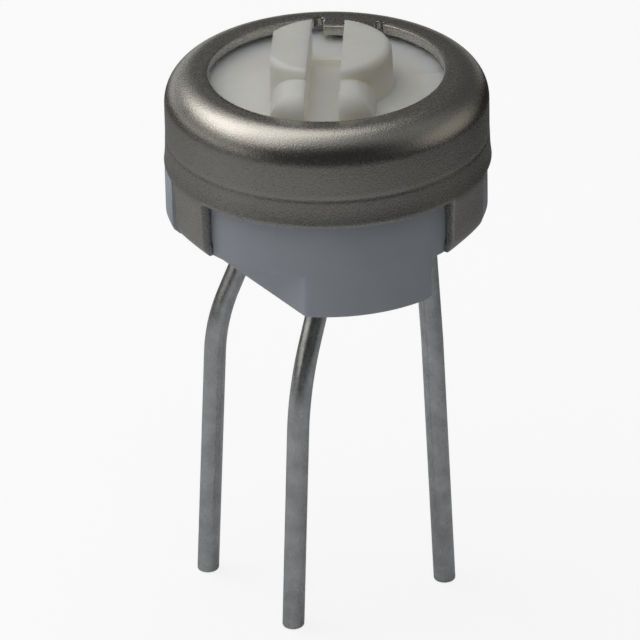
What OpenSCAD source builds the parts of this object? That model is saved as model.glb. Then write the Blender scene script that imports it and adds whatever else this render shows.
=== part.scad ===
// Single-turn trimmer potentiometer, quarter-inch round, with a metal can and three wire leads.
// The origin is on the rotor axis at the seating plane. The leads hang below it and +Z points up.
// Angles round the axis start at the front (-Y, the side of lead 2) and grow towards +X.

/* [Can] */
// Outer diameter of the can wall
can_d = 6.34; // [5.9:0.01:7]
// Height of the can's flat top above the seating plane
can_top = 3.92; // [3.8:0.01:4.6]
// Thickness of the can's sheet metal
sheet = 0.2; // [0.14:0.01:0.24]
// Radius of the rounded shoulder, outside
shoulder_r = 0.62; // [0.45:0.01:0.75]
// Width of the flat ring between the shoulder and the opening in the can's top
lip_flat = 0.245; // [0.19:0.005:0.34]
// Height of the can's lower edge above the seating plane
ring_low = 2.06; // [1.7:0.01:2.3]
// How far the wall flares out at its lower edge
band_out = 0.045; // [0.005:0.005:0.07]
// Height of the flared band
band_h = 0.58; // [0.3:0.01:0.9]

/* [Crimp tabs] */
// Height of the tabs' lower ends above the seating plane
tab_low = 0.87; // [0.86:0.01:1.2]
// Angle that each tab covers
tab_angle = 22; // [15:1:32]
// Angle of the first tab's middle
tab_first_angle = -48; // [-60:1:-40]
// How far a tab's end is bent in under the base
tab_bend = 0.15; // [0.05:0.01:0.2]
// Height of the bent end
tab_bend_h = 0.3; // [0.15:0.01:0.4]

/* [Stop] */
// Width of the stop tab on the lip
stop_w = 1; // [0.7:0.01:1.3]
// Angle of the stop tab's middle
stop_angle = 180; // [150:1:210]
// How far the stop tab reaches in from the lip
stop_reach = 0.33; // [0.25:0.01:0.45]

/* [Base] */
// Height of the standoff block under the base
standoff_h = 0.85; // [0.5:0.01:0.88]
// Clearance between the base and the can's inside
can_gap = 0.03; // [0.01:0.01:0.06]
// Wall of the base round the bore that holds the element and guides the rotor
base_wall = 0.43; // [0.33:0.01:0.53]
// Chamfer along the base's upper rim, under the can's shoulder
rim_bevel = 0.1; // [0.05:0.01:0.15]
// Height of the bore's floor above the seating plane
floor_z = 1.75; // [1.5:0.01:1.9]
// How far the standoff's flat side at the left is cut in
flat_left_in = 0.94; // [0.63:0.01:1.08]
// Angle of the standoff's flat side at the left
flat_left_angle = -45; // [-50:1:-40]
// How far the standoff's flat side at the right is cut in
flat_right_in = 1.01; // [0.63:0.01:1.08]
// Angle of the standoff's flat side at the right
flat_right_angle = 103; // [95:1:110]
// Chamfer along the lower edge of the base's lands
land_chamfer = 0.2; // [0.1:0.01:0.3]
// Angle left free between a land and the tab beside it
land_gap_angle = 1.5; // [0.5:0.5:4]

/* [Element] */
// Thickness of the ceramic disc
disc_h = 0.45; // [0.35:0.01:0.55]
// Clearance between the ceramic disc and the bore
disc_gap = 0.03; // [0.01:0.01:0.06]
// Thickness of the printed films
film_h = 0.03; // [0.02:0.01:0.05]
// Distance from the bore to the middle of the resistive track
track_in = 0.6; // [0.5:0.01:0.8]
// Width of the resistive track
track_w = 0.6; // [0.4:0.01:0.8]
// Angle that the track covers
track_angle = 270; // [240:1:290]
// Radius of the collector's round middle
collector_r = 0.55; // [0.4:0.01:0.8]
// Width of the collector's tail
collector_w = 0.5; // [0.3:0.01:0.7]

/* [Rotor] */
// Depth of the rotor's face below the can's flat top
face_drop = 0.3; // [0.26:0.01:0.4]
// Height of the boss above the rotor's face
boss_h = 0.85; // [0.5:0.01:1]
// Diameter of the boss
boss_d = 2.62; // [2.2:0.01:2.9]
// Distance from the axis to the boss's flat side
boss_flat = 1.05; // [0.9:0.01:1.3]
// Radius of the boss's rounded top edge
boss_round = 0.15; // [0.05:0.01:0.3]
// Width of the screwdriver slot
slot_w = 0.65; // [0.4:0.01:0.8]
// Distance from the axis to the rear end of the slot's sunk floor
slot_back = 1.09; // [0.8:0.01:1.2]
// Depth of the slot below the rotor's face
slot_sink = 0.15; // [0.05:0.01:0.2]
// Width of the stop arm
arm_w = 2.02; // [1.6:0.01:2.2]
// Height of the stop arm above the rotor's face
arm_h = 0.66; // [0.4:0.01:0.75]
// Radius of the arm's rounded upper edges
arm_round = 0.6; // [0.2:0.01:0.62]
// Radius of the arm's rounded outer top edge
arm_nose = 0.42; // [0.2:0.01:0.5]
// Clearance between the arm's outer end and the can's opening
arm_gap = 0.165; // [0.1:0.005:0.25]
// Angle at which the arm points, close to mid travel
rotor_angle = 9; // [-120:1:120]
// Running clearance between the rotor and the bore
run_gap = 0.06; // [0.03:0.01:0.09]
// Thickness of the rotor's upper flange
flange_h = 0.22; // [0.15:0.01:0.3]
// Height of the rotor's underside above the seating plane
rotor_low = 2.62; // [2.58:0.01:2.8]

/* [Seal ring] */
// Thickness of the round section of the seal ring
ring_t = 0.36; // [0.24:0.01:0.38]
// Clearance round the seal ring's section
ring_gap = 0.02; // [0.01:0.01:0.05]

/* [Contact spring] */
// Thickness of the spring's sheet
spring_t = 0.08; // [0.05:0.01:0.1]
// Width of the spring's wiper arm
spring_w = 0.5; // [0.3:0.01:0.7]
// Gap between the spring's contact points and the films
contact_gap = 0.02; // [0.01:0.01:0.05]

/* [Leads] */
// Diameter of the lead wire
wire_d = 0.44; // [0.35:0.01:0.5]
// Length of the leads below the seating plane
lead_drop = 7.35; // [4:0.05:12]
// Radius of the first bend, at its middle
bend_out_r = 0.6; // [0.5:0.05:1]
// Radius of lead 1's second bend, at its middle
back_1_r = 4; // [2:0.1:6]
// Radius of lead 2's second bend, at its middle
back_2_r = 5.7; // [2:0.1:6]
// Radius of lead 3's second bend, at its middle
back_3_r = 3; // [2:0.1:6]
// Straight run between lead 1's bends
run_1 = 0.87; // [0.3:0.01:1.5]
// Straight run between lead 2's bends
run_2 = 1.09; // [0.3:0.01:1.5]
// Straight run between lead 3's bends
run_3 = 1.81; // [0.3:0.01:2.5]
// Distance from the bore to lead 1
lead_1_in = 0.82; // [0.5:0.01:1.2]
// Distance from the bore to lead 2
lead_2_in = 1.35; // [0.5:0.01:1.4]
// Distance from the bore to lead 3
lead_3_in = 0.59; // [0.48:0.01:0.7]
// How much thinner the wire's radius is where it is bent
bend_thin = 0.003; // [0.002:0.001:0.01]
// Diameter of the flat head on each lead
head_d = 0.8; // [0.6:0.01:0.9]
// Thickness of the flat head on each lead
head_t = 0.12; // [0.08:0.01:0.16]
// Thickness of the joint between a head and the ceramic disc
joint_t = 0.06; // [0.04:0.01:0.1]
// Clearance between a lead and its hole
hole_gap = 0.03; // [0.01:0.01:0.05]
// Diameter of the round well that each lead's seal fills
well_d = 0.76; // [0.7:0.01:0.8]
// Depth of that well
well_h = 0.25; // [0.15:0.01:0.4]

/* [Hidden] */

TABS = 3;
tab_pitch = 360 / TABS;
far = 20;
can_r = can_d / 2;
lip_r = can_r - shoulder_r - lip_flat;
wire_r = wire_d / 2;
base_r = can_r - sheet - can_gap;
bore_r = base_r - base_wall;
track_r = bore_r - track_in;
rim_z = can_top - sheet - can_gap;
face_z = can_top - face_drop;
boss_r = boss_d / 2;
arm_reach = lip_r - arm_gap;
disc_top = floor_z + disc_h;
film_top = disc_top + film_h;
rotor_r = bore_r - run_gap;
neck_r = rotor_r - ring_t - ring_gap;
groove_top = face_z - flange_h;
groove_low = groove_top - ring_t - 2 * ring_gap;
slot_floor = face_z - slot_sink;
pocket_h = head_t + joint_t;

// Each lead: exit radius, exit angle, direction of its kick, kick angle, run between its bends,
// second bend's radius, splay of its foot, and the height of the base's underside where it comes out.
LEADS = [
    [bore_r - lead_1_in, -92, 201.5, 22.9, run_1, back_1_r, 3.1, 0],
    [bore_r - lead_2_in, 6, 243.5, 23, run_2, back_2_r, 3.85, 0],
    [bore_r - lead_3_in, 93, 4, 3.2, run_3, back_3_r, 2.1, standoff_h]
];

$fn = 96;

// A point of the plan at a radius and an angle from the front.
function at(r, a) = [r * sin(a), -r * cos(a)];

// A wedge of the plan between two angles, well past the part.
module wedge(from, to) {
    steps = max(2, ceil((to - from) / 30));
    polygon(concat([[0, 0]], [for (i = [0:steps]) at(far, from + (to - from) * i / steps)]));
}

// The can's outline from the axis to its wall, without its opening.
module can_outline(r, top, round) {
    square([r - round, top]);
    square([r, top - round]);
    translate([r - round, top - round]) circle(r = round);
}

// Section of the wall, shoulder and flat top of the can.
module can_section() {
    difference() {
        union() {
            can_outline(can_r, can_top, shoulder_r);
            polygon([
                [can_r - sheet / 2, ring_low], [can_r + band_out, ring_low],
                [can_r, ring_low + band_h], [can_r - sheet / 2, ring_low + band_h]
            ]);
        }
        can_outline(can_r - sheet, can_top - sheet, shoulder_r - sheet);
        translate([0, -far]) square([far, far + ring_low]);
        translate([0, can_top - far / 2]) square([lip_r, far]);
    }
}

// Section of one crimp tab. It leans in from the flared edge and its end is bent in.
module tab_section() {
    bend_z = tab_low + tab_bend_h;
    polygon([
        [can_r - sheet - tab_bend, tab_low], [can_r - tab_bend, tab_low],
        [can_r - tab_bend / 3, tab_low + tab_bend_h / 2], [can_r, bend_z], [can_r + band_out, ring_low],
        [can_r - sheet / 2, ring_low + band_h / 2], [can_r - sheet, ring_low + band_h / 2],
        [can_r - sheet, bend_z], [can_r - sheet - tab_bend / 3, tab_low + tab_bend_h / 2]
    ]);
}

module can() {
    color([0.47, 0.46, 0.44]) {
        rotate_extrude() can_section();
        for (i = [0:TABS - 1]) {
            middle = tab_first_angle + i * tab_pitch;
            intersection() {
                rotate_extrude() tab_section();
                linear_extrude(can_top) wedge(middle - tab_angle / 2, middle + tab_angle / 2);
            }
        }
        rotate([0, 0, stop_angle]) difference() {
            translate([-stop_w / 2, -lip_r - sheet, can_top - sheet])
                cube([stop_w, stop_reach + sheet, sheet]);
            cylinder(h = far, r = lip_r - stop_reach);
        }
    }
}

// Body of the base up to its rim, round the bore.
module base_section() {
    rim_r = bore_r + (base_r - bore_r) * 0.25;
    rim_drop = shoulder_r - sheet / 4;
    polygon([
        [0, standoff_h], [base_r, standoff_h], [base_r, rim_z - rim_drop],
        [base_r - rim_bevel, rim_z - rim_drop / 2], [rim_r, rim_z], [bore_r, rim_z],
        [bore_r, floor_z], [0, floor_z]
    ]);
}

// Land that fills the gap between two tabs, flush with the can.
module land(from, to) {
    land_r = can_r - can_gap / 2;
    intersection() {
        rotate_extrude() polygon([
            [base_r - sheet, standoff_h], [land_r - land_chamfer, standoff_h],
            [land_r, standoff_h + land_chamfer], [land_r, ring_low - can_gap],
            [base_r - sheet, ring_low - can_gap]
        ]);
        linear_extrude(can_top) wedge(from, to);
    }
}

// What is cut from the base so that a tab can lie against it and bend in.
module tab_seat(middle) {
    half = (tab_angle + land_gap_angle) / 2;
    intersection() {
        rotate_extrude() polygon([
            [base_r - tab_bend, -1], [base_r - tab_bend, tab_low],
            [base_r - tab_bend / 3, tab_low + tab_bend_h / 2],
            [base_r + tab_bend / 3, tab_low + 1.5 * tab_bend_h],
            [far, tab_low + 1.5 * tab_bend_h], [far, -1]
        ]);
        translate([0, 0, -1]) linear_extrude(can_top) wedge(middle - half, middle + half);
    }
}

// Everything on the inner side of a flat, at a distance from the axis and an angle.
module inside_flat(distance, angle) {
    rotate([0, 0, angle]) translate([-far, -distance]) square(2 * far);
}

// Plan of the standoff block, with a round notch where a lead comes out above it.
module standoff_plan() {
    difference() {
        intersection() {
            circle(r = base_r);
            inside_flat(base_r - flat_left_in, flat_left_angle);
            inside_flat(base_r - flat_right_in, flat_right_angle);
        }
        for (lead = LEADS)
            if (lead[7] > 0) translate(at(lead[0], lead[1])) circle(d = well_d + 2 * land_chamfer);
    }
}

module base() {
    tab_half = tab_angle / 2 + land_gap_angle;
    color([0.87, 0.89, 0.93]) difference() {
        union() {
            rotate_extrude() base_section();
            linear_extrude(standoff_h) standoff_plan();
            for (i = [1:TABS - 1]) {
                first = tab_first_angle + i * tab_pitch;
                land(first + tab_half, first + tab_pitch - tab_half);
            }
        }
        for (i = [0:TABS - 1]) tab_seat(tab_first_angle + i * tab_pitch);
        for (lead = LEADS) {
            translate(concat(at(lead[0], lead[1]), -far / 2)) cylinder(h = far, r = wire_r + hole_gap);
            translate(concat(at(lead[0], lead[1]), lead[7] + well_h - far)) cylinder(h = far, d = well_d);
            translate(concat(at(lead[0], lead[1]), floor_z - pocket_h))
                cylinder(h = far, d = head_d + 2 * hole_gap);
        }
    }
}

module element_disc() {
    color([0.93, 0.92, 0.88])
        translate([0, 0, floor_z]) cylinder(h = disc_h, r = bore_r - disc_gap);
}

// A printed film on the ceramic disc.
module film() {
    translate([0, 0, disc_top]) linear_extrude(film_h) children();
}

module track_ring() {
    difference() {
        circle(r = track_r + track_w / 2);
        circle(r = track_r - track_w / 2);
    }
}

module resistive_track() {
    color([0.16, 0.15, 0.15]) film() intersection() {
        track_ring();
        wedge(-track_angle / 2, track_angle / 2);
    }
}

// The collector is a round middle with a tail that reaches back between the track's ends.
module collector() {
    color([0.75, 0.74, 0.7]) film() {
        circle(r = collector_r);
        translate([-collector_w / 2, 0]) square([collector_w, track_r]);
    }
}

// Conductor at one end of the track.
module end_pad(side) {
    pad_angle = (360 - track_angle) / 2 - 2 * asin(collector_w / (2 * (track_r - track_w / 2)));
    color([0.75, 0.74, 0.7]) film() intersection() {
        track_ring();
        mirror([side < 0 ? 1 : 0, 0]) wedge(track_angle / 2, track_angle / 2 + pad_angle);
    }
}

module end_pad_1() {
    end_pad(-1);
}

module end_pad_3() {
    end_pad(1);
}

// An arc of wire that starts straight down and turns towards +X. The children follow its end.
// It laps a little into the straight wire at each end, where it stays inside it.
module bend_out(angle, radius) {
    lap = acos(1 - bend_thin / (2 * radius));
    translate([radius, 0, 0]) rotate([90, 0, 0]) rotate([0, 0, 180 - lap])
        rotate_extrude(angle = angle + 2 * lap) translate([radius, 0]) circle(r = wire_r - bend_thin);
    translate([radius * (1 - cos(angle)), 0, -radius * sin(angle)]) rotate([0, -angle, 0]) children();
}

// The same arc turned the other way.
module bend_back(angle, radius) {
    mirror([1, 0, 0]) bend_out(angle, radius) mirror([1, 0, 0]) children();
}

// Straight wire downwards. The children follow its end.
module run(length) {
    translate([0, 0, -length]) cylinder(h = length, r = wire_r);
    translate([0, 0, -length]) children();
}

// One formed lead: a headed end, a kick outwards and a long foot with a little splay.
module lead(spec) {
    kick = spec[3];
    splay = spec[6];
    back = kick - splay;
    used = bend_out_r * sin(kick) + spec[4] * cos(kick) + spec[5] * (sin(kick) - sin(splay));
    foot = (lead_drop - wire_r * sin(splay) - used) / cos(splay);
    neck = floor_z - pocket_h + head_t / 2;
    color([0.66, 0.66, 0.64]) translate(at(spec[0], spec[1])) {
        translate([0, 0, floor_z - pocket_h]) cylinder(h = head_t, d = head_d);
        rotate([0, 0, spec[2]]) translate([0, 0, neck]) run(neck)
            bend_out(kick, bend_out_r) run(spec[4]) bend_back(back, spec[5]) run(foot);
    }
}

module lead_1() {
    lead(LEADS[0]);
}

module lead_2() {
    lead(LEADS[1]);
}

module lead_3() {
    lead(LEADS[2]);
}

// Conductive joint between a lead's head and the ceramic disc.
module joint(spec) {
    color([0.8, 0.79, 0.76])
        translate(concat(at(spec[0], spec[1]), floor_z - joint_t)) cylinder(h = joint_t, d = head_d);
}

module joint_1() {
    joint(LEADS[0]);
}

module joint_2() {
    joint(LEADS[1]);
}

module joint_3() {
    joint(LEADS[2]);
}

// Resin that seals a lead in its well.
module lead_seal(spec) {
    color([0.55, 0.42, 0.26]) translate(concat(at(spec[0], spec[1]), spec[7])) difference() {
        cylinder(h = well_h, d = well_d);
        translate([0, 0, -far / 2]) cylinder(h = far, r = wire_r);
    }
}

module lead_seal_1() {
    lead_seal(LEADS[0]);
}

module lead_seal_2() {
    lead_seal(LEADS[1]);
}

module lead_seal_3() {
    lead_seal(LEADS[2]);
}

module seal_ring() {
    color([0.13, 0.13, 0.14]) rotate_extrude()
        translate([neck_r + ring_gap + ring_t / 2, groove_low + ring_gap + ring_t / 2]) circle(d = ring_t);
}

// Section of the turned body of the rotor, with the groove for the seal ring.
module rotor_section() {
    square([neck_r, face_z]);
    translate([0, groove_top]) square([rotor_r, flange_h]);
    translate([0, rotor_low]) square([rotor_r, groove_low - rotor_low]);
    translate([0, rotor_low]) square([boss_r - boss_round, face_z + boss_h - rotor_low]);
    translate([0, rotor_low]) square([boss_r, face_z + boss_h - boss_round - rotor_low]);
    translate([boss_r - boss_round, face_z + boss_h - boss_round]) circle(r = boss_round);
}

// Cross-section of the stop arm, seen from its outer end. Its root lies in the flange.
module arm_section() {
    half = arm_w / 2;
    root = flange_h / 2;
    intersection() {
        translate([-half, -root]) square([arm_w, root + arm_h]);
        union() {
            translate([-half, -root]) square([arm_w, root + arm_h - arm_round]);
            translate([-half + arm_round, -root]) square([arm_w - 2 * arm_round, root + arm_h]);
            for (side = [-1, 1])
                translate([side * (half - arm_round), arm_h - arm_round]) circle(r = arm_round);
        }
    }
}

// The stop arm: the cross-section run out from the axis, with its outer top edge rounded.
module arm() {
    intersection() {
        translate([0, 0, face_z]) rotate([90, 0, 0]) linear_extrude(arm_reach) arm_section();
        rotate_extrude() {
            square([arm_reach, face_z + arm_h - arm_nose]);
            square([arm_reach - arm_nose, face_z + arm_h]);
            translate([arm_reach - arm_nose, face_z + arm_h - arm_nose]) circle(r = arm_nose);
        }
    }
}

module rotor() {
    color([0.93, 0.92, 0.86]) rotate([0, 0, rotor_angle]) difference() {
        union() {
            rotate_extrude() difference() {
                rotor_section();
                square([far, rotor_low]);
            }
            arm();
        }
        translate([-slot_w / 2, -arm_reach - run_gap, slot_floor])
            cube([slot_w, arm_reach + run_gap + slot_back, far]);
        translate([-slot_w / 2, 0, face_z]) cube([slot_w, far, far]);
        translate([-boss_flat - far, -far / 2, face_z]) cube([far, far, far]);
    }
}

// Side outline of the spring: a flat middle and an arm that slopes down to the track.
module spring_side() {
    flat_end = collector_r;
    arm_end = track_r + spring_t;
    low = film_top + contact_gap;
    polygon([
        [-flat_end, rotor_low - spring_t], [-flat_end, rotor_low], [flat_end, rotor_low],
        [arm_end - spring_t, low + 2 * spring_t], [arm_end, low + spring_t], [arm_end, low],
        [arm_end - 2 * spring_t, low], [flat_end - spring_t / 2, rotor_low - spring_t]
    ]);
}

module contact_spring() {
    low = film_top + contact_gap;
    color([0.76, 0.62, 0.36]) rotate([0, 0, rotor_angle]) {
        translate([spring_w / 2, 0, 0]) rotate([90, 0, -90]) linear_extrude(spring_w) spring_side();
        translate([0, 0, low]) cylinder(h = rotor_low - low, r = spring_w / 2 - spring_t);
    }
}

can();
base();
element_disc();
resistive_track();
collector();
end_pad_1();
end_pad_3();
lead_1();
lead_2();
lead_3();
joint_1();
joint_2();
joint_3();
lead_seal_1();
lead_seal_2();
lead_seal_3();
seal_ring();
rotor();
contact_spring();
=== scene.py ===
"""Looks of a single-turn trimmer potentiometer: blasted metal can, moulded base and rotor, formed wire leads.

Everything is in metres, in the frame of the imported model. New pieces are drawn in millimetres and brought to
metres when they are finished. Angles round the axis start at the front (-Y) and grow towards +X.
"""

import bmesh
import bpy
import math
from mathutils import Matrix, Vector


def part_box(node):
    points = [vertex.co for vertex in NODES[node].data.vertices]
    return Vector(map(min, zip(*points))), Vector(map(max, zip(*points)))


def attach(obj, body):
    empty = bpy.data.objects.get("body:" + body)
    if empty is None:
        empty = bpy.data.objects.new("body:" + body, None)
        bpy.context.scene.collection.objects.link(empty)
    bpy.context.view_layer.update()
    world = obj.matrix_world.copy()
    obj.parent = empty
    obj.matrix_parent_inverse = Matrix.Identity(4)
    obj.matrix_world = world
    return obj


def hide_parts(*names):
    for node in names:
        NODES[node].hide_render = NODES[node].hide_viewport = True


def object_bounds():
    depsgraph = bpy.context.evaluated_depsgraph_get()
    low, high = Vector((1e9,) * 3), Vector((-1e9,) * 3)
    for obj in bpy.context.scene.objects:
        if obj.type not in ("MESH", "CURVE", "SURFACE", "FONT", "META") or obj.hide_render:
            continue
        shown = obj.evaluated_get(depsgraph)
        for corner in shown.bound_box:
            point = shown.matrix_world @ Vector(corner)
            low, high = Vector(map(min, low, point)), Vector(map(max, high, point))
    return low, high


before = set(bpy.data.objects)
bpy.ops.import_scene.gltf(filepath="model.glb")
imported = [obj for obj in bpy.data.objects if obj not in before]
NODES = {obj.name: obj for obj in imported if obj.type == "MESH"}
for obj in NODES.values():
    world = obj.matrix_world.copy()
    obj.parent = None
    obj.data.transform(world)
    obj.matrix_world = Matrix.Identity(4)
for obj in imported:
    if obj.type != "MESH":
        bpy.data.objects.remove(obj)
cad_box = [list(corner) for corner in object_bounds()]
MM = 0.001

# Camera, placed round the middle of the can's opening and aimed at a point below it
CAN_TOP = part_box("can")[1][2] / MM
CAMERA_AZIMUTH = 12.0
CAMERA_ELEVATION = 25.3
CAMERA_DISTANCE = 120.0
CAMERA_ROLL = -1.16
LENS = 347.0
SENSOR = 36.0
AIM = (-0.213, -0.047, CAN_TOP - 5.492)

# A vertex or face this near a level or a radius counts as on it
NEAR = 1e-3
FACE_NEAR = 0.01
# Angles, in degrees, past which an edge is sharp: for shading and soft edges, at the can's cut edges, at the
# standoff block's upright corners, and at the ends of the block and the leads
SMOOTH_ANGLE = 35
CUT_EDGE_ANGLE = 50
CORNER_ANGLE = 20
END_ANGLE = 60

# Can
CAN_R = 3.17
SHEET = 0.2
SHOULDER_R = 0.62
LIP_R = 2.305
LIP_STEP = 0.12
RING_LOW = 2.06
CUT_ROUND = 0.025
CAN_STEPS = 360
CAN_START_ANGLE = 0.5
SHOULDER_STEPS = 22
INNER_SHOULDER_STEPS = 8
# Flared band at the lower edge, and its curve as shares of its flare and of its height
BAND_OUT = 0.042
BAND_H = 0.58
BAND_CURVE = ((0.72, 0.15), (0.5, 0.3), (0.32, 0.48), (0.2, 0.66), (0.16, 0.84))
# Crease above the band: how far each point is out of the wall and above the band
CREASE = ((0.004, -0.035), (-0.004, 0), (0.001, 0.03), (0, 0.12), (0, 0.35))

# Crimp tabs, each as its first and last angle, on the can's steps. Each lies within the half angle from its
# middle
TABS = ((-58.5, -38.5), (61.5, 83.5), (181.5, 202.5))
TAB_HALF_ANGLE = 13
TAB_LOW = 0.872
# Heights down the straight stretch, and how far the outer side has come in from the flare at each
TAB_LEANS = ((1.95, 0.012), (1.7, 0.026), (1.45, 0.036))
# Bent end: its height, how far it is bent in, and the share of the bend at the foot of each equal step
TAB_BEND_H = 0.3
TAB_BEND = 0.15
TAB_BEND_SHARES = (0.06, 0.2, 0.42, 0.7, 1.0)
# How far the crimping tool flattens the inner side and the outer side
TAB_INNER_SQUEEZE = 0.4
TAB_OUTER_SQUEEZE = 0.8

# Stop tab on the can's lip, with a relief cut at each root corner. Each half of its reach tapers alike
STOP_ANGLE = 180
STOP_HALF_ANGLE = 12.6
STOP_REACH = 0.33
STOP_TAPER = 0.955
RELIEF_ANGLE = 15
RELIEF_R = 0.1
RELIEF_OUT = 0.015
RELIEF_STEPS = 40

# Base
BASE_R = 2.94
BORE_R = 2.51
RIM_Z = 3.69
RIM_R = 2.6175
FLOOR_Z = 1.75
STANDOFF_H = 0.85
BASE_STEPS = 240
BASE_ROUND = 0.02
# Vertices closer than this are merged after the cuts, and edges shorter than this are dissolved
MERGE_GAP = 0.0015
SHORT_EDGE = 0.0005
# Lower edge, as how far in and how far up each point is, and upper edge, as how far in and how far down
BASE_LOWER_EDGE = ((0.05, 0), (0.015, 0.015), (0, 0.05))
BASE_UPPER_EDGE = ((0, 0.57), (0.1, 0.285))
# Standoff block's flat sides, each as its distance from the axis and its angle
FLATS = ((2.0, -45), (1.93, 103))
BLOCK_STEP = 1.5
BLOCK_IN = 0.002
BLOCK_OVERLAP = 0.1
CORNER_CLEAR_ANGLE = 3.2
CORNER_ROUND = 0.07
UNDERSIDE_ROUND = 0.045
# Lands between the tabs, each as its first and last angle and its radius
LANDS = ((84.5, 179.5, 3.125), (204.5, 299.5, 3.2))
LAND_ROOT_R = 2.74
LAND_TOP = RING_LOW - 0.03
# Their rounded lower edge, as how far in and how far above the base's lower edge each point is
LAND_EDGE = ((0.2, 0.002), (0.14, 0.03), (0.03, 0.14), (0, 0.22))
# Seats that the tabs lie in, each as its first and last angle
SEATS = ((-58.75, -38.3), (61.3, 83.75), (181.25, 202.75))
SEAT_STEPS = 24
# Their sloping side, as how far each point is out of the base's wall and above the tab's end
SEAT_SLOPE = ((-0.05, 0.15), (0.05, 0.45))

# Leads. Each leaves the base at its exit (radius and angle), leans out by its kick towards its heading, runs
# straight, bends back and ends in a foot that still leans out by its splay
LEADS = (
    {"exit": (1.69, -92), "heading": 201.5, "kick": 22.9, "run": 0.87, "back_r": 4.0, "splay": 3.1,
     "underside": 0},
    {"exit": (1.16, 6), "heading": 243.5, "kick": 23, "run": 1.09, "back_r": 5.7, "splay": 3.85,
     "underside": 0},
    {"exit": (1.92, 93), "heading": 4, "kick": 3.2, "run": 1.81, "back_r": 3.0, "splay": 2.1,
     "underside": STANDOFF_H},
)
WIRE_R = 0.22
WIRE_SIDES = 40
LEAD_DROP = 7.35
KICK_R = 0.6
BEND_STEP = 1.5
FOOT_STEPS = 4
FOOT_ROUND = 0.05
HEAD_R = 0.4
HEAD_H = 0.12
HEAD_ROUND = 0.02
# Holes in the base: clearance round the wire, the resin's well, the head's pocket, and the notch by lead 3
HOLE_GAP = 0.03
HOLE_STEPS = 48
WELL_R = 0.38
WELL_H = 0.25
POCKET_H = 0.18
NOTCH_R = WELL_R + 0.2
NOTCH_STEPS = 72
# Cuts in the base start below it and end above it or outside it
CUT_LOW = -1
CUT_HIGH = 3
CUT_OUT = 4

# Rotor
ROTOR_ANGLE = 9
ROTOR_R = 2.45
ROTOR_LOW = 2.62
ROTOR_STEPS = 180
ROTOR_ROUND = 0.06
GROOVE = (3.0, 3.4)
NECK_R = 2.07
FACE_Z = 3.62
# Cuts stay this far above the face, and reach this far to each side and above the boss
FACE_SKIN = 0.002
CUT_REACH = 2.4
CUT_OVER = 0.3
BOSS_R = 1.31
BOSS_TOP = 4.47
BOSS_ROUND = 0.17
BOSS_FILLET = 0.07
BOSS_DRAFT = 0.02
BOSS_FLAT = 1.05
BOSS_FLAT_DRAFT = 0.01
SLOT_W = 0.65
SLOT_FLOOR = 3.47
SLOT_BACK = 1.09
# Ramp at the slot's rear end, as how far behind it each point is and its height
SLOT_RAMP = ((-0.1, SLOT_FLOOR), (-0.02, SLOT_FLOOR + 0.03), (0.03, FACE_Z - 0.02),
             (0.09, FACE_Z + FACE_SKIN))
# Stop arm, sunk a little into the face
ARM_HALF = 1.01
ARM_TOP = 4.28
ARM_ROUND = 0.6
ARM_NOSE = 0.42
ARM_REACH = 2.14
ARM_ROOT = FACE_Z - 0.11
ARM_SPARE = 0.1

# Noise seldom leaves these ranges, so their ends count as its darkest and lightest
CLOUD_RANGE = (0.35, 0.65)
GRAIN_RANGE = (0.3, 0.7)
WHOLE = (0, 1)
# How far a hidden part's roughness varies each way
GLOSS_VARIES = 0.06

# Surroundings: the fill on surfaces, what reflections see, and the floor as the camera sees it
FILL = 0.06
FILL_TINT = (0.94, 0.97, 1.0)
DIM = 0.11
FLOOR_R = 0.9
FLOOR_GLOW = 0.84
FLOOR_SHADOW = 0.25
# Floor as surfaces see it: a painted pool of light that fades outwards, with painted shade at the back right
PAINTED_POOL_LIGHT = 0.68
PAINTED_POOL_DARK = 0.05
PAINTED_SHADE_ANGLE = 150
PAINTED_SHADE_EDGE = (3, 30)
PAINTED_POOL_ROUND = (15, 46)
PAINTED_POOL_CENTRE = (-5 * MM, -9 * MM, 0)

# Lamps, each with its azimuth and elevation, distance, width, height and power
SOFTBOXES = {
    "key_softbox": (-112, 42, 90, 90, 60, 0.016),
    "top_softbox": (-150, 74, 90, 90, 70, 0.012),
    "side_softbox": (-70, 2, 90, 60, 36, 0.0055),
    "ceiling_softbox": (-10, 76, 200, 300, 300, 0.125),
}

# Reflector cards, each with its azimuth and elevation, distance, width, height and shade
CARDS = {
    "card_key": (-112, 49, 80, 64, 44, (2.2, 2.15, 2.03)),
    "card_key_side": (-64, 52, 82, 44, 38, (1.05, 1.02, 0.97)),
    "card_key_top": (-132, 73, 81, 74, 40, (1.35, 1.32, 1.25)),
    "card_glow": (-108, 52, 84, 150, 88, (0.6, 0.585, 0.55)),
    "card_top": (-40, 82, 86, 74, 60, (0.36, 0.36, 0.36)),
    "card_back": (-150, 2, 80, 60, 24, (0.6, 0.6, 0.6)),
    "card_left": (-88, 4, 82, 124, 20, (0.62, 0.6, 0.56)),
    "card_right": (92, 10, 80, 70, 56, (0.38, 0.36, 0.32)),
    "card_right_high": (88, 50, 80, 70, 44, (0.22, 0.22, 0.22)),
    "card_behind": (178, -7, 60, 60, 13, (0.46, 0.445, 0.41)),
    "card_front": (0, 26, 78, 150, 64, (0.03, 0.03, 0.03)),
}


# Mesh work shared by all pieces

def deselect_all():
    for obj in bpy.context.selected_objects:
        obj.select_set(False)


def make_active(obj):
    deselect_all()
    obj.select_set(True)
    bpy.context.view_layer.objects.active = obj


def edit(obj):
    make_active(obj)
    bpy.ops.object.mode_set(mode="EDIT")
    bpy.ops.mesh.select_all(action="DESELECT")


def leave_edit():
    bpy.ops.object.mode_set(mode="OBJECT")


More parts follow.
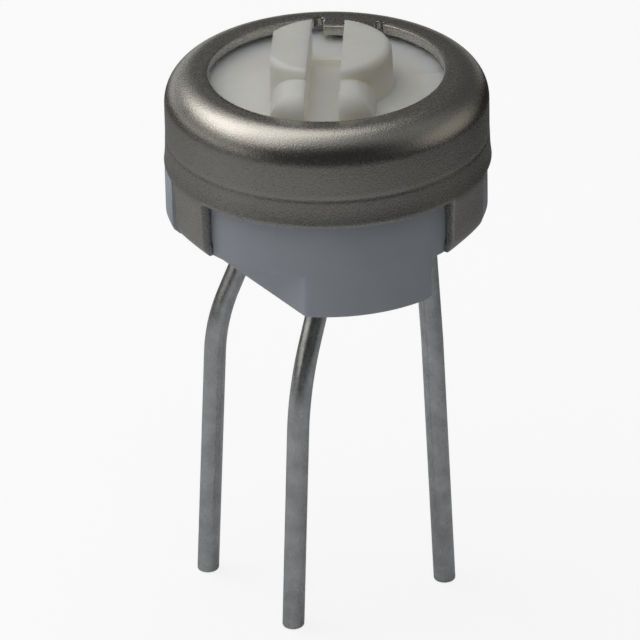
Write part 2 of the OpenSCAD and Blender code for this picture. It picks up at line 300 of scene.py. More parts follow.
def pick(obj, kind, test):
    """Selects, in edit mode, the verts, edges or faces that pass a test, and nothing else."""
    bpy.ops.mesh.select_all(action="DESELECT")
    bpy.ops.mesh.select_mode(type={"verts": "VERT", "edges": "EDGE", "faces": "FACE"}[kind])
    mesh = bmesh.from_edit_mesh(obj.data)
    mesh.normal_update()
    for part in [part for part in getattr(mesh, kind) if test(part)]:
        part.select_set(True)
    bmesh.update_edit_mesh(obj.data)


def is_sharp(edge, angle):
    return len(edge.link_faces) == 2 and edge.calc_face_angle(0) > math.radians(angle)


def angle_of(point):
    return math.degrees(math.atan2(point.x, -point.y))


def angle_between(angle, middle):
    return abs((angle - middle + 180) % 360 - 180)


def polar(radius, angle, z=0.0):
    turn = math.radians(angle)
    return Vector((radius * math.sin(turn), -radius * math.cos(turn), z))


def arc(centre_r, centre_z, radius, start, end, steps):
    """Points of a rounded corner in a section, as radius and height."""
    turns = [math.radians(start + (end - start) * i / steps) for i in range(steps + 1)]
    return [(centre_r + radius * math.cos(t), centre_z + radius * math.sin(t)) for t in turns]


def draw_chain(name, places):
    """Draws a chain of edges by extruding one vertex from place to place."""
    deselect_all()
    bpy.ops.mesh.primitive_plane_add(size=1)
    obj = bpy.context.object
    obj.name = obj.data.name = name
    edit(obj)
    bpy.ops.mesh.select_mode(type="VERT")
    bpy.ops.mesh.select_all(action="SELECT")
    bpy.ops.mesh.merge(type="CENTER")
    bpy.ops.transform.translate(value=places[0])
    for start, end in zip(places, places[1:]):
        bpy.ops.mesh.extrude_region_move(TRANSFORM_OT_translate={"value": end - start})
    return obj


def turn_section(name, points, steps, start_angle=0.0, turn=360.0, closed=True):
    """Spins a section round the axis. A section that starts and ends on the axis isn't closed."""
    places = [polar(radius, start_angle, height) for radius, height in points]
    obj = draw_chain(name, places)
    if closed:
        pick(obj, "verts", lambda v: min((v.co - places[0]).length, (v.co - places[-1]).length) < 1e-5)
        bpy.ops.mesh.edge_face_add()
    bpy.ops.mesh.select_all(action="SELECT")
    if turn < 360:
        bpy.ops.mesh.edge_face_add()
    # The spin runs against the angles used here, so its angle is negative
    bpy.ops.mesh.spin(steps=steps, angle=-math.radians(turn), center=(0, 0, 0), axis=(0, 0, 1))
    bpy.ops.mesh.select_all(action="SELECT")
    bpy.ops.mesh.remove_doubles(threshold=1e-4)
    bpy.ops.mesh.normals_make_consistent(inside=False)
    leave_edit()
    return obj


def prism(name, places, sweep):
    """Fills an outline and extrudes it."""
    obj = draw_chain(name, places)
    bpy.ops.mesh.select_all(action="SELECT")
    bpy.ops.mesh.edge_face_add()
    bpy.ops.mesh.extrude_region_move(TRANSFORM_OT_translate={"value": sweep})
    bpy.ops.mesh.select_all(action="SELECT")
    bpy.ops.mesh.normals_make_consistent(inside=False)
    leave_edit()
    return obj


def round_bar(name, place, radius, low, high, steps):
    deselect_all()
    bpy.ops.mesh.primitive_cylinder_add(vertices=steps, radius=radius, depth=high - low,
                                        location=(place.x, place.y, (low + high) / 2))
    obj = bpy.context.object
    obj.name = name
    bpy.ops.object.transform_apply(location=True)
    return obj


def combine(obj, other, operation):
    """Joins, cuts or trims an object with another one, which is then removed."""
    make_active(obj)
    modifier = obj.modifiers.new(operation.lower(), "BOOLEAN")
    modifier.operation = operation
    modifier.solver = "EXACT"
    modifier.object = other
    bpy.ops.object.modifier_apply(modifier=modifier.name)
    bpy.data.objects.remove(other)


def soften(obj, width, segments=2):
    """Rounds every sharp edge."""
    make_active(obj)
    modifier = obj.modifiers.new("soften", "BEVEL")
    modifier.width = width
    modifier.segments = segments
    modifier.limit_method = "ANGLE"
    modifier.angle_limit = math.radians(SMOOTH_ANGLE)
    modifier.use_clamp_overlap = True
    bpy.ops.object.modifier_apply(modifier=modifier.name)


def finish_piece(obj, body, material, stands_for):
    """Brings a piece from millimetres to metres and hands it to the frame."""
    make_active(obj)
    obj.scale = (MM, MM, MM)
    bpy.ops.object.transform_apply(location=True, rotation=True, scale=True)
    bpy.ops.object.shade_smooth_by_angle(angle=math.radians(SMOOTH_ANGLE))
    normals = obj.modifiers.new("normals", "WEIGHTED_NORMAL")
    normals.keep_sharp = True
    bpy.ops.object.modifier_apply(modifier=normals.name)
    obj.data.materials.clear()
    obj.data.materials.append(material)
    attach(obj, body)
    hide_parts(stands_for)
    deselect_all()


# Camera and studio

def studio_direction(azimuth, elevation):
    """Unit vector from the object. Azimuth is seen from the camera: 0 is towards it, 90 to its right."""
    turn = math.radians(CAMERA_AZIMUTH + azimuth)
    rise = math.radians(elevation)
    return Vector((math.sin(turn) * math.cos(rise), -math.cos(turn) * math.cos(rise), math.sin(rise)))


def studio_place(towards, distance):
    """A place in metres, at a distance in millimetres from the middle of the can's opening."""
    return (Vector((0, 0, CAN_TOP)) + towards * distance) * MM


def make_camera():
    data = bpy.data.cameras.new("camera")
    data.sensor_width = SENSOR
    data.lens = LENS
    data.clip_start = CAMERA_DISTANCE * MM / 100
    data.clip_end = CAMERA_DISTANCE * MM * 100
    camera = bpy.data.objects.new("camera", data)
    bpy.context.scene.collection.objects.link(camera)
    camera.location = studio_place(studio_direction(0, CAMERA_ELEVATION), CAMERA_DISTANCE)
    look = (Vector(AIM) * MM - camera.location).to_track_quat("-Z", "Y")
    roll = Matrix.Rotation(math.radians(CAMERA_ROLL), 3, "Z").to_quaternion()
    camera.rotation_mode = "QUATERNION"
    camera.rotation_quaternion = look @ roll
    bpy.context.scene.camera = camera


def make_world():
    """White to the camera, a low even fill on surfaces, and dim surroundings in reflections."""
    world = bpy.data.worlds.new("studio")
    bpy.context.scene.world = world
    world.use_nodes = True
    tree = world.node_tree
    fill = tree.nodes["Background"]
    fill.inputs["Color"].default_value = (*FILL_TINT, 1)
    fill.inputs["Strength"].default_value = FILL
    white = tree.nodes.new("ShaderNodeBackground")
    white.inputs["Strength"].default_value = 1.0
    dim = tree.nodes.new("ShaderNodeBackground")
    dim.inputs["Strength"].default_value = DIM
    path = tree.nodes.new("ShaderNodeLightPath")
    surface = fill.outputs["Background"]
    for ray, light in (("Is Glossy Ray", dim), ("Is Camera Ray", white)):
        mix = tree.nodes.new("ShaderNodeMixShader")
        tree.links.new(path.outputs[ray], mix.inputs["Fac"])
        tree.links.new(surface, mix.inputs[1])
        tree.links.new(light.outputs["Background"], mix.inputs[2])
        surface = mix.outputs["Shader"]
    tree.links.new(surface, tree.nodes["World Output"].inputs["Surface"])


def painted_floor_shade(tree):
    """How dark the floor is painted, from 0 to 1: the darker of a painted fall-off of light and painted shade
    at the back right.
    """
    coordinates = tree.nodes.new("ShaderNodeTexCoord")
    shade = tree.nodes.new("ShaderNodeMath")
    shade.operation = "MAXIMUM"
    falls = (("DISTANCE", PAINTED_POOL_CENTRE, PAINTED_POOL_ROUND), ("DOT_PRODUCT", polar(1, PAINTED_SHADE_ANGLE), PAINTED_SHADE_EDGE))
    for target, (operation, value, (near, far)) in zip(shade.inputs, falls):
        measure = tree.nodes.new("ShaderNodeVectorMath")
        measure.operation = operation
        measure.inputs[1].default_value = value
        tree.links.new(coordinates.outputs["Object"], measure.inputs[0])
        tree.links.new(spread(tree, measure.outputs["Value"], (near * MM, far * MM), WHOLE), target)
    return shade.outputs["Value"]


def make_floor():
    """A pale floor. The camera sees it as white, with the object's shadow left on it."""
    deselect_all()
    bpy.ops.mesh.primitive_circle_add(vertices=96, radius=FLOOR_R, fill_type="NGON",
                                      location=(0, 0, cad_box[0][2]))
    floor = bpy.context.object
    floor.name = "floor"
    material = bpy.data.materials.new("floor")
    material.use_nodes = True
    tree = material.node_tree
    tree.nodes.clear()
    # Surfaces and reflections see a painted pool of light that fades outwards, with painted shade at the back
    # right
    painted_floor = tree.nodes.new("ShaderNodeBsdfDiffuse")
    tone = blend_colours(tree, painted_floor_shade(tree), (PAINTED_POOL_LIGHT,) * 3, (PAINTED_POOL_DARK,) * 3)
    tree.links.new(tone, painted_floor.inputs["Color"])
    shadow = tree.nodes.new("ShaderNodeBsdfDiffuse")
    shadow.inputs["Color"].default_value = (*(FLOOR_SHADOW,) * 3, 1)
    glow = tree.nodes.new("ShaderNodeEmission")
    glow.inputs["Strength"].default_value = FLOOR_GLOW
    seen = tree.nodes.new("ShaderNodeAddShader")
    tree.links.new(shadow.outputs["BSDF"], seen.inputs[0])
    tree.links.new(glow.outputs["Emission"], seen.inputs[1])
    mix = tree.nodes.new("ShaderNodeMixShader")
    path = tree.nodes.new("ShaderNodeLightPath")
    tree.links.new(path.outputs["Is Camera Ray"], mix.inputs["Fac"])
    tree.links.new(painted_floor.outputs["BSDF"], mix.inputs[1])
    tree.links.new(seen.outputs["Shader"], mix.inputs[2])
    output = tree.nodes.new("ShaderNodeOutputMaterial")
    tree.links.new(mix.outputs["Shader"], output.inputs["Surface"])
    floor.data.materials.append(material)


def softbox(name, azimuth, elevation, distance, width, height, power):
    """An area lamp that faces the object, with sizes in millimetres. Metal sees the cards instead of it."""
    data = bpy.data.lights.new(name, "AREA")
    data.shape = "RECTANGLE"
    data.size = width * MM
    data.size_y = height * MM
    data.energy = power
    lamp = bpy.data.objects.new(name, data)
    bpy.context.scene.collection.objects.link(lamp)
    towards = studio_direction(azimuth, elevation)
    lamp.location = studio_place(towards, distance)
    lamp.rotation_mode = "QUATERNION"
    lamp.rotation_quaternion = towards.to_track_quat("Z", "Y")
    lamp.visible_glossy = False


def reflector_card(name, azimuth, elevation, distance, width, height, shade):
    """A card that only reflections see, as set up round small shiny products."""
    deselect_all()
    towards = studio_direction(azimuth, elevation)
    bpy.ops.mesh.primitive_plane_add(size=1)
    card = bpy.context.object
    card.name = name
    card.scale = (width * MM, height * MM, 1)
    card.location = studio_place(towards, distance)
    card.rotation_mode = "QUATERNION"
    card.rotation_quaternion = towards.to_track_quat("Z", "Y")
    material = bpy.data.materials.new(name)
    material.use_nodes = True
    tree = material.node_tree
    tree.nodes.clear()
    surface = tree.nodes.new("ShaderNodeEmission")
    surface.inputs["Color"].default_value = (*shade, 1)
    output = tree.nodes.new("ShaderNodeOutputMaterial")
    tree.links.new(surface.outputs["Emission"], output.inputs["Surface"])
    card.data.materials.append(material)
    card.visible_camera = False
    card.visible_diffuse = False
    card.visible_shadow = False
    card.visible_transmission = False


# Materials

def new_material(name, metallic=0.0):
    material = bpy.data.materials.new(name)
    material.use_nodes = True
    shader = material.node_tree.nodes["Principled BSDF"]
    shader.inputs["Metallic"].default_value = metallic
    return material, material.node_tree, shader


def place_noise(tree, per_mm, detail, rough=0.5, stretch=(1, 1, 1)):
    """Noise on Object coordinates, with a number of features per millimetre."""
    coordinates = tree.nodes.new("ShaderNodeTexCoord")
    mapping = tree.nodes.new("ShaderNodeMapping")
    mapping.inputs["Scale"].default_value = [s / MM for s in stretch]
    noise = tree.nodes.new("ShaderNodeTexNoise")
    noise.inputs["Scale"].default_value = per_mm
    noise.inputs["Detail"].default_value = detail
    noise.inputs["Roughness"].default_value = rough
    tree.links.new(coordinates.outputs["Object"], mapping.inputs["Vector"])
    tree.links.new(mapping.outputs["Vector"], noise.inputs["Vector"])
    return noise.outputs["Fac"]


def spread(tree, value, source, target):
    """Maps a value from one range to another."""
    node = tree.nodes.new("ShaderNodeMapRange")
    node.inputs["From Min"].default_value = source[0]
    node.inputs["From Max"].default_value = source[1]
    node.inputs["To Min"].default_value = target[0]
    node.inputs["To Max"].default_value = target[1]
    tree.links.new(value, node.inputs["Value"])
    return node.outputs["Result"]


def blend_colours(tree, factor, first, second):
    """Mixes two colours. Each is a triple or a socket."""
    node = tree.nodes.new("ShaderNodeMix")
    node.data_type = "RGBA"
    tree.links.new(factor, node.inputs["Factor"])
    for socket, colour in (("A", first), ("B", second)):
        target = [i for i in node.inputs if i.name == socket and i.type == "RGBA"][0]
        if isinstance(colour, tuple):
            target.default_value = (*colour, 1)
        else:
            tree.links.new(colour, target)
    return [o for o in node.outputs if o.type == "RGBA"][0]


def cloud_colours(tree, cloud, first, second):
    """Two tones that drift into each other."""
    return blend_colours(tree, spread(tree, cloud, CLOUD_RANGE, WHOLE), first, second)


def set_colour(tree, shader, colour):
    tree.links.new(colour, shader.inputs["Base Color"])


def set_skin(tree, shader, noise, roughness, depth):
    """Gives a surface a roughness range and a bump, both from one noise. The depth is in millimetres."""
    tree.links.new(spread(tree, noise, GRAIN_RANGE, roughness), shader.inputs["Roughness"])
    bump = tree.nodes.new("ShaderNodeBump")
    bump.inputs["Distance"].default_value = depth * MM
    tree.links.new(noise, bump.inputs["Height"])
    tree.links.new(bump.outputs["Normal"], shader.inputs["Normal"])


def set_scatter(shader, weight, shares, reach):
    """Light that spreads under the surface: its reach in millimetres, and each colour's share of that."""
    shader.inputs["Subsurface Weight"].default_value = weight
    shader.inputs["Subsurface Radius"].default_value = shares
    shader.inputs["Subsurface Scale"].default_value = reach * MM


def blasted_metal():
    """Nickel-plated sheet with a fine blasted grain and faint stains."""
    material, tree, shader = new_material("blasted_metal", metallic=1.0)
    stain = place_noise(tree, per_mm=0.9, detail=4, rough=0.6)
    grain = place_noise(tree, per_mm=30, detail=3, rough=0.6)
    tone = cloud_colours(tree, stain, (0.42, 0.41, 0.385), (0.48, 0.47, 0.445))
    speck = spread(tree, grain, GRAIN_RANGE, WHOLE)
    set_colour(tree, shader, blend_colours(tree, speck, tone, (0.52, 0.505, 0.475)))
    set_skin(tree, shader, grain, roughness=(0.24, 0.32), depth=0.0055)
    return material


def base_plastic():
    """Moulded plastic, white with a cool cast, with a faint matte texture."""
    material, tree, shader = new_material("base_plastic")
    cloud = place_noise(tree, per_mm=0.8, detail=3)
    grain = place_noise(tree, per_mm=14, detail=2)
    set_colour(tree, shader, cloud_colours(tree, cloud, (0.68, 0.725, 0.8), (0.73, 0.77, 0.84)))
    set_skin(tree, shader, grain, roughness=(0.42, 0.55), depth=0.003)
    set_scatter(shader, weight=0.15, shares=(1.0, 1.0, 1.1), reach=0.15)
    return material


def rotor_plastic():
    """Off-white engineering plastic, a little translucent and warm where it is thin."""
    material, tree, shader = new_material("rotor_plastic")
    cloud = place_noise(tree, per_mm=1.1, detail=3)
    grain = place_noise(tree, per_mm=12, detail=2)
    set_colour(tree, shader, cloud_colours(tree, cloud, (0.88, 0.865, 0.8), (0.91, 0.9, 0.845)))
    set_skin(tree, shader, grain, roughness=(0.38, 0.52), depth=0.003)
    set_scatter(shader, weight=1.0, shares=(1.0, 0.9, 0.65), reach=0.45)
    return material


def tinned_wire():
    """Dull tinned wire with drawing marks along it and handling marks."""
    material, tree, shader = new_material("tinned_wire", metallic=1.0)
    streak = place_noise(tree, per_mm=11, detail=3, rough=0.6, stretch=(1, 1, 0.3))
    blotch = place_noise(tree, per_mm=2.2, detail=4, rough=0.65)
    set_colour(tree, shader, cloud_colours(tree, blotch, (0.58, 0.587, 0.595), (0.75, 0.763, 0.775)))
    set_skin(tree, shader, streak, roughness=(0.2, 0.32), depth=0.003)
    return material


def simple_finish(name, first, second, roughness, metallic=0.0, grain=8, depth=0.003):
    """A finish for a hidden part: two close tones, a varied gloss and a faint grain."""
    material, tree, shader = new_material(name, metallic)
    cloud = place_noise(tree, per_mm=1.5, detail=3)
    set_colour(tree, shader, cloud_colours(tree, cloud, first, second))
    varied = (roughness - GLOSS_VARIES, roughness + GLOSS_VARIES)
    set_skin(tree, shader, place_noise(tree, per_mm=grain, detail=2), varied, depth)
    return material


METAL = blasted_metal()
BASE = base_plastic()
ROTOR = rotor_plastic()
WIRE = tinned_wire()
CERAMIC = simple_finish("white_ceramic", (0.82, 0.8, 0.74), (0.86, 0.85, 0.8), 0.55, grain=20)
TRACK = simple_finish("resistive_film", (0.03, 0.03, 0.032), (0.05, 0.048, 0.046), 0.4, grain=20)
SILVER = simple_finish("silver_film", (0.62, 0.6, 0.56), (0.7, 0.69, 0.66), 0.4, 1.0, grain=25)
JOINT = simple_finish("joint_metal", (0.5, 0.49, 0.46), (0.6, 0.59, 0.57), 0.38, 1.0)
RESIN = simple_finish("seal_resin", (0.3, 0.19, 0.08), (0.4, 0.27, 0.13), 0.25, depth=0.006)
RUBBER = simple_finish("ring_rubber", (0.02, 0.02, 0.021), (0.035, 0.034, 0.034), 0.6)
SPRING = simple_finish("spring_metal", (0.62, 0.47, 0.24), (0.7, 0.55, 0.3), 0.28, 1.0)
NODE_FINISHES = {
    "can": METAL, "base": BASE, "rotor": ROTOR, "element_disc": CERAMIC, "resistive_track": TRACK,
    "collector": SILVER, "end_pad_1": SILVER, "end_pad_3": SILVER,
    "lead_1": WIRE, "lead_2": WIRE, "lead_3": WIRE,
    "joint_1": JOINT, "joint_2": JOINT, "joint_3": JOINT,
    "lead_seal_1": RESIN, "lead_seal_2": RESIN, "lead_seal_3": RESIN,
    "seal_ring": RUBBER, "contact_spring": SPRING,
}


def finish_nodes():
    for node, material in NODE_FINISHES.items():
        obj = NODES[node]
        if not obj.material_slots:
            obj.data.materials.append(material)
        for slot in obj.material_slots:
            slot.material = material


# Can

def can_section():
    """Closed section of the can: the flared band, crease, wall, shoulder and lip, and back down inside."""
    crease_z = RING_LOW + BAND_H
    inner_r = CAN_R - SHEET
    shoulder = (CAN_R - SHOULDER_R, CAN_TOP - SHOULDER_R)
    points = [(CAN_R + BAND_OUT, RING_LOW)]
    points += [(CAN_R + BAND_OUT * share, RING_LOW + BAND_H * rise) for share, rise in BAND_CURVE]
    points += [(CAN_R + out, crease_z + rise) for out, rise in CREASE]
    points += arc(*shoulder, SHOULDER_R, 0, 90, SHOULDER_STEPS)
    points += [(LIP_R + LIP_STEP, CAN_TOP), (LIP_R, CAN_TOP), (LIP_R, CAN_TOP - SHEET)]
    points += arc(*shoulder, SHOULDER_R - SHEET, 90, 0, INNER_SHOULDER_STEPS)
    points += [(inner_r, crease_z), (inner_r, RING_LOW)]
    return points


def over_a_tab(face):
    angle = angle_of(face.calc_center_median())
    return any((angle - first) % 360 < last - first for first, last in TABS)


def at_level(vert, level):
    return abs(vert.co.z - level) < NEAR


def draw_down_tabs(can):
    """Extrudes the wall's lower edge down into the straight tabs. Returns the levels of their bent ends."""
    pick(can, "faces", lambda f: f.normal.z < -0.9 and f.calc_center_median().z < RING_LOW + FACE_NEAR
         and over_a_tab(f))
    steps = len(TAB_BEND_SHARES)
    bent_levels = [TAB_LOW + TAB_BEND_H * (steps - i) / steps for i in range(steps + 1)]
    levels = [level for level, _ in TAB_LEANS] + bent_levels
    for above, level in zip([RING_LOW] + levels, levels):
        bpy.ops.mesh.extrude_region_move(TRANSFORM_OT_translate={"value": (0, 0, level - above)})
    # The outer side comes in from the flared edge to the wall's radius
    for level, lean in TAB_LEANS:
        pick(can, "verts", lambda v: at_level(v, level) and v.co.xy.length > CAN_R)
        bpy.ops.transform.resize(value=(1 - lean / CAN_R, 1 - lean / CAN_R, 1), center_override=(0, 0, 0))
    pick(can, "verts", lambda v: v.co.z < bent_levels[0] + NEAR and v.co.xy.length > CAN_R)
    bpy.ops.transform.resize(value=(CAN_R / (CAN_R + BAND_OUT),) * 2 + (1,), center_override=(0, 0, 0))
    return bent_levels


def squeeze_side(middle, chord_r, squeeze):
    """Flattens what is selected towards a chord across the direction of a tab's middle."""
    bpy.ops.transform.resize(value=(1, 1 - squeeze, 1), orient_type="GLOBAL",
                             orient_matrix=Matrix.Rotation(math.radians(middle), 3, "Z"),
                             orient_matrix_type="GLOBAL", center_override=polar(chord_r, middle))


def bend_in_tab(can, first, last, bent_levels):
    """Bends a tab's end in under the base and flattens it, as the crimping tool does."""
    middle = (first + last) / 2
    chord = math.cos(math.radians((last - first) / 2))

    def on_tab(vert, level):
        return at_level(vert, level) and angle_between(angle_of(vert.co), middle) < TAB_HALF_ANGLE

    for level, share in zip(bent_levels[1:], TAB_BEND_SHARES):
        pick(can, "verts", lambda v: on_tab(v, level) and v.co.xy.length < CAN_R - SHEET / 2)
        squeeze_side(middle, (CAN_R - SHEET) * chord, TAB_INNER_SQUEEZE * share)
        pick(can, "verts", lambda v: on_tab(v, level) and v.co.xy.length >= CAN_R - SHEET / 2)
        squeeze_side(middle, CAN_R * chord, TAB_OUTER_SQUEEZE * share)
        pick(can, "verts", lambda v: on_tab(v, level))
        bpy.ops.transform.translate(value=polar(-TAB_BEND * share, middle))


def draw_in_stop_tab(can):
    """Draws the lip's cut edge in over the rotor, as a tab that tapers."""
    pick(can, "faces", lambda f: abs(f.normal.z) < 0.1
         and abs(f.calc_center_median().xy.length - LIP_R) < FACE_NEAR
         and angle_between(angle_of(f.calc_center_median()), STOP_ANGLE) < STOP_HALF_ANGLE)
    for _ in range(2):
        bpy.ops.mesh.extrude_region_move(
            TRANSFORM_OT_translate={"value": polar(-STOP_REACH / 2, STOP_ANGLE)})
        bpy.ops.transform.resize(value=(STOP_TAPER, 1, 1), center_override=polar(LIP_R, STOP_ANGLE))


def make_can():
    can = turn_section("can_shell", can_section(), CAN_STEPS, CAN_START_ANGLE)
    edit(can)
    bent_levels = draw_down_tabs(can)
    for first, last in TABS:
        bend_in_tab(can, first, last, bent_levels)
    draw_in_stop_tab(can)
    leave_edit()
    for side in (-1, 1):
        corner = polar(LIP_R + RELIEF_OUT, STOP_ANGLE + side * RELIEF_ANGLE)
        relief = round_bar("relief", corner, RELIEF_R, CAN_TOP - 2 * SHEET, CAN_TOP + SHEET / 2, RELIEF_STEPS)
        combine(can, relief, "DIFFERENCE")
    # Every cut edge of the sheet is slightly rounded
    edit(can)
    pick(can, "edges", lambda e: is_sharp(e, CUT_EDGE_ANGLE))
    bpy.ops.mesh.bevel(offset=CUT_ROUND, segments=2, profile=0.5)
    bpy.ops.mesh.select_all(action="SELECT")
    bpy.ops.mesh.remove_doubles(threshold=1e-5)
    leave_edit()
    finish_piece(can, "housing", METAL, "can")


# Rotor

def rotor_body():
    """Disc with the groove for the seal ring, and the boss with its fillet and rounded top."""
    section = [(0, ROTOR_LOW), (ROTOR_R, ROTOR_LOW), (ROTOR_R, GROOVE[0]), (NECK_R, GROOVE[0]),
               (NECK_R, GROOVE[1]), (ROTOR_R, GROOVE[1]), (ROTOR_R, FACE_Z)]
    section += arc(BOSS_R + BOSS_FILLET, FACE_Z + BOSS_FILLET, BOSS_FILLET, 270, 180, 4)
    section += arc(BOSS_R - BOSS_DRAFT - BOSS_ROUND, BOSS_TOP - BOSS_ROUND, BOSS_ROUND, 0, 90, 6)
    section += [(0, BOSS_TOP)]
    return turn_section("rotor_moulding", section, ROTOR_STEPS, closed=False)


def stop_arm():
    """The arm's round-topped cross-section run out to the front, then trimmed to a rounded nose."""
    side = arc(ARM_HALF - ARM_ROUND, ARM_TOP - ARM_ROUND, ARM_ROUND, 0, 90, 14)
    outline = [(ARM_HALF, ARM_ROOT)] + side + [(-x, z) for x, z in reversed(side)] + [(-ARM_HALF, ARM_ROOT)]
    run = Vector((0, -ARM_REACH - ARM_SPARE, 0))
    arm = prism("arm", [Vector((x, 0, z)) for x, z in outline], run)
    nose = [(0, ARM_ROOT - ARM_SPARE), (ARM_REACH, ARM_ROOT - ARM_SPARE)]
    nose += arc(ARM_REACH - ARM_NOSE, ARM_TOP - ARM_NOSE, ARM_NOSE, 0, 90, 10) + [(0, ARM_TOP)]
    combine(arm, turn_section("limit", nose, ROTOR_STEPS, closed=False), "INTERSECT")
    return arm


def slot_cut():
    """Room of the slot: sunk below the face in front, with a ramp at its rear end, and open at the top."""
    high = BOSS_TOP + CUT_OVER
    profile = [(-CUT_REACH, SLOT_FLOOR)] + [(SLOT_BACK + behind, z) for behind, z in SLOT_RAMP]
    profile += [(CUT_REACH, FACE_Z + FACE_SKIN), (CUT_REACH, high), (-CUT_REACH, high)]
    return prism("slot", [Vector((-SLOT_W / 2, y, z)) for y, z in profile], Vector((SLOT_W, 0, 0)))


def flat_cut():
    """Room beside the boss's flat side, which leans a little."""
    low, high = FACE_Z + FACE_SKIN, BOSS_TOP + CUT_OVER
    profile = [(-BOSS_FLAT - BOSS_FLAT_DRAFT, low), (-CUT_REACH, low), (-CUT_REACH, high),
               (-BOSS_FLAT + BOSS_FLAT_DRAFT, high)]
    return prism("flat", [Vector((x, -CUT_REACH, z)) for x, z in profile], Vector((0, 2 * CUT_REACH, 0)))


def make_rotor():
    rotor = rotor_body()
    combine(rotor, stop_arm(), "UNION")
    combine(rotor, slot_cut(), "DIFFERENCE")
    combine(rotor, flat_cut(), "DIFFERENCE")
    soften(rotor, ROTOR_ROUND, 3)
    rotor.rotation_euler.z = math.radians(ROTOR_ANGLE)
    finish_piece(rotor, "rotor", ROTOR, "rotor")


# Base

def base_body():
    section = [(0, STANDOFF_H)]
    section += [(BASE_R - inward, STANDOFF_H + rise) for inward, rise in BASE_LOWER_EDGE]
    section += [(BASE_R - inward, RIM_Z - drop) for inward, drop in BASE_UPPER_EDGE]
    section += [(RIM_R, RIM_Z), (BORE_R, RIM_Z), (BORE_R, FLOOR_Z), (0, FLOOR_Z)]
    return turn_section("base_moulding", section, BASE_STEPS, closed=False)


def standoff_block():
    """A round outline with two flat sides and soft corners, notched beside lead 3."""
    angles = [i * BLOCK_STEP for i in range(round(360 / BLOCK_STEP))]
    for distance, middle in FLATS:
        half = math.degrees(math.acos(distance / BASE_R))
        angles = [a for a in angles if angle_between(a, middle) > half + CORNER_CLEAR_ANGLE]
        angles += [(middle - half) % 360, (middle + half) % 360]
    outline = [polar(BASE_R - BLOCK_IN, a) for a in sorted(angles)]
    block = prism("block", outline, Vector((0, 0, STANDOFF_H + BLOCK_OVERLAP)))
    edit(block)
    pick(block, "edges", lambda e: abs(e.verts[0].co.z - e.verts[1].co.z) > STANDOFF_H / 2
         and is_sharp(e, CORNER_ANGLE))
    bpy.ops.mesh.bevel(offset=CORNER_ROUND, segments=4, profile=0.5)
    pick(block, "edges", lambda e: all(v.co.z < 1e-4 for v in e.verts) and is_sharp(e, END_ANGLE))
    bpy.ops.mesh.bevel(offset=UNDERSIDE_ROUND, segments=3, profile=0.5)
    leave_edit()
    notch = round_bar("notch", polar(*LEADS[2]["exit"]), NOTCH_R, CUT_LOW, STANDOFF_H, NOTCH_STEPS)
    combine(block, notch, "DIFFERENCE")
    return block


def land(first, last, radius):
    """Raised part of the base's wall that fills the gap between two tabs."""
    section = [(LAND_ROOT_R, STANDOFF_H + LAND_EDGE[0][1])]
    section += [(radius - inward, STANDOFF_H + rise) for inward, rise in LAND_EDGE]
    section += [(radius, LAND_TOP), (LAND_ROOT_R, LAND_TOP)]
    return turn_section("land", section, round(last - first), first, last - first)


def tab_seat(first, last):
    """Room for a tab's bent end, with a slope for its bend."""
    inner_r = BASE_R - TAB_BEND
    top = TAB_LOW + SEAT_SLOPE[-1][1]
    section = [(inner_r, CUT_LOW), (inner_r, TAB_LOW)]
    section += [(BASE_R + out, TAB_LOW + rise) for out, rise in SEAT_SLOPE]
    section += [(CUT_OUT, top), (CUT_OUT, CUT_LOW)]
    return turn_section("seat", section, SEAT_STEPS, first, last - first)


def make_base():
    base = base_body()
    combine(base, standoff_block(), "UNION")
    for first, last, radius in LANDS:
        combine(base, land(first, last, radius), "UNION")
    for first, last in SEATS:
        combine(base, tab_seat(first, last), "DIFFERENCE")
    # A hole for each lead, with a well below for the resin and a pocket above for the head
    for lead in LEADS:
        place = polar(*lead["exit"])
        for radius, low, high in ((WIRE_R + HOLE_GAP, CUT_LOW, CUT_HIGH),
                                  (WELL_R, CUT_LOW, lead["underside"] + WELL_H),
                                  (HEAD_R + HOLE_GAP, FLOOR_Z - POCKET_H, CUT_HIGH)):
            combine(base, round_bar("hole", place, radius, low, high, HOLE_STEPS), "DIFFERENCE")
    # The cuts leave slivers, which would spoil the soft edges
    edit(base)
    bpy.ops.mesh.select_all(action="SELECT")
    bpy.ops.mesh.remove_doubles(threshold=MERGE_GAP)
    bpy.ops.mesh.dissolve_degenerate(threshold=SHORT_EDGE)
    leave_edit()
    soften(base, BASE_ROUND)
    finish_piece(base, "housing", BASE, "base")


# Leads

def leaning(out, lean):
    """Downward direction that leans out by an angle in radians."""
    return out * math.sin(lean) - Vector((0, 0, math.cos(lean)))


def lead_path(lead):
    """The wire's centre line from just under its head to its foot, in small steps where it bends."""
    heading = math.radians(lead["heading"])
    out = Vector((math.cos(heading), math.sin(heading), 0))
    kick, splay = lead["kick"], lead["splay"]
    places = [polar(*lead["exit"], FLOOR_Z - POCKET_H + HEAD_H / 2)]
    here = polar(*lead["exit"])
    for start, end, bend_r in ((0, kick, KICK_R), (kick, splay, lead["back_r"])):
        steps = max(3, round(abs(end - start) / BEND_STEP))
        places.append(here.copy())
        for i in range(steps):
            lean = math.radians(start + (end - start) * (i + 0.5) / steps)
            length = bend_r * math.radians(abs(end - start)) / steps
            here += leaning(out, lean) * length
            places.append(here.copy())
        if end == kick:
            here += leaning(out, math.radians(kick)) * lead["run"]
    lean = math.radians(splay)
    foot = (LEAD_DROP + here.z - WIRE_R * math.sin(lean)) / math.cos(lean)
    down = leaning(out, lean)
    places += [here + down * foot * (i + 1) / FOOT_STEPS for i in range(FOOT_STEPS)]
    return places


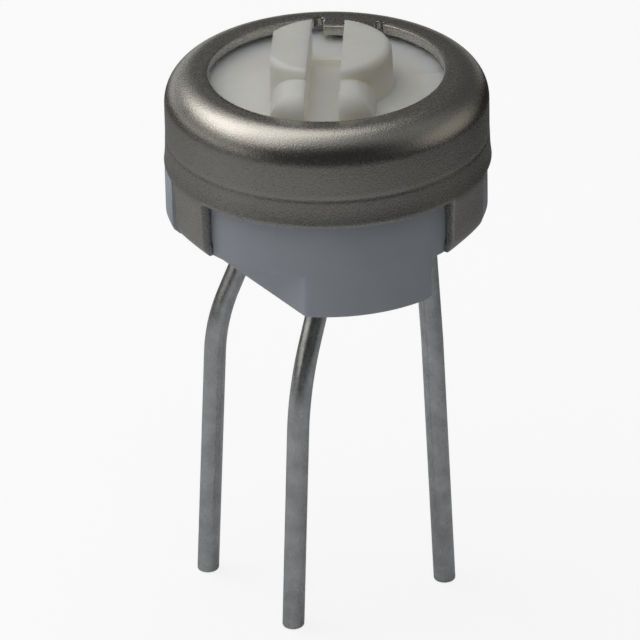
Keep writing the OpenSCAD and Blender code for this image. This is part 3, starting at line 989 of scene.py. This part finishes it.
def turn_end(swing, place):
    """Turns what is selected about a place. The operator turns the other way, so it gets minus."""
    bpy.ops.transform.rotate(value=-swing.angle, orient_axis="Z", orient_type="GLOBAL",
                             orient_matrix=swing.axis.to_track_quat("Z", "Y").to_matrix(),
                             orient_matrix_type="GLOBAL", center_override=place)


def make_lead(index, lead):
    places = lead_path(lead)
    deselect_all()
    bpy.ops.mesh.primitive_circle_add(vertices=WIRE_SIDES, radius=WIRE_R, fill_type="NGON",
                                      location=places[0])
    wire = bpy.context.object
    wire.name = wire.data.name = f"lead_{index}_wire"
    bpy.ops.object.transform_apply(location=True)
    # The wire's end is pushed along the path and turned half-way into each next stretch
    edit(wire)
    bpy.ops.mesh.select_all(action="SELECT")
    heading = Vector((0, 0, -1))
    for i, (start, end) in enumerate(zip(places, places[1:])):
        bpy.ops.mesh.extrude_region_move(TRANSFORM_OT_translate={"value": end - start})
        before = (end - start).normalized()
        after = (places[i + 2] - end).normalized() if i + 2 < len(places) else before
        tangent = (before + after).normalized()
        swing = heading.rotation_difference(tangent)
        if swing.angle > 1e-5:
            turn_end(swing, end)
        heading = tangent
    bpy.ops.mesh.select_all(action="SELECT")
    bpy.ops.mesh.normals_make_consistent(inside=False)
    # The cut end at the foot, a little rounded
    pick(wire, "edges", lambda e: all((v.co - places[-1]).length < WIRE_R * 1.01 for v in e.verts)
         and is_sharp(e, END_ANGLE))
    bpy.ops.mesh.bevel(offset=FOOT_ROUND, segments=4, profile=0.5)
    leave_edit()
    low = FLOOR_Z - POCKET_H
    head = round_bar("head", places[0], HEAD_R, low, low + HEAD_H, HOLE_STEPS)
    soften(head, HEAD_ROUND)
    combine(wire, head, "UNION")
    finish_piece(wire, "housing", WIRE, f"lead_{index}")


# Making

make_camera()
make_world()
make_floor()
for name, setting in SOFTBOXES.items():
    softbox(name, *setting)
for name, setting in CARDS.items():
    reflector_card(name, *setting)
finish_nodes()
make_can()
make_rotor()
make_base()
for index, lead in enumerate(LEADS, 1):
    make_lead(index, lead)

bpy.context.scene.view_settings.view_transform = "Standard"
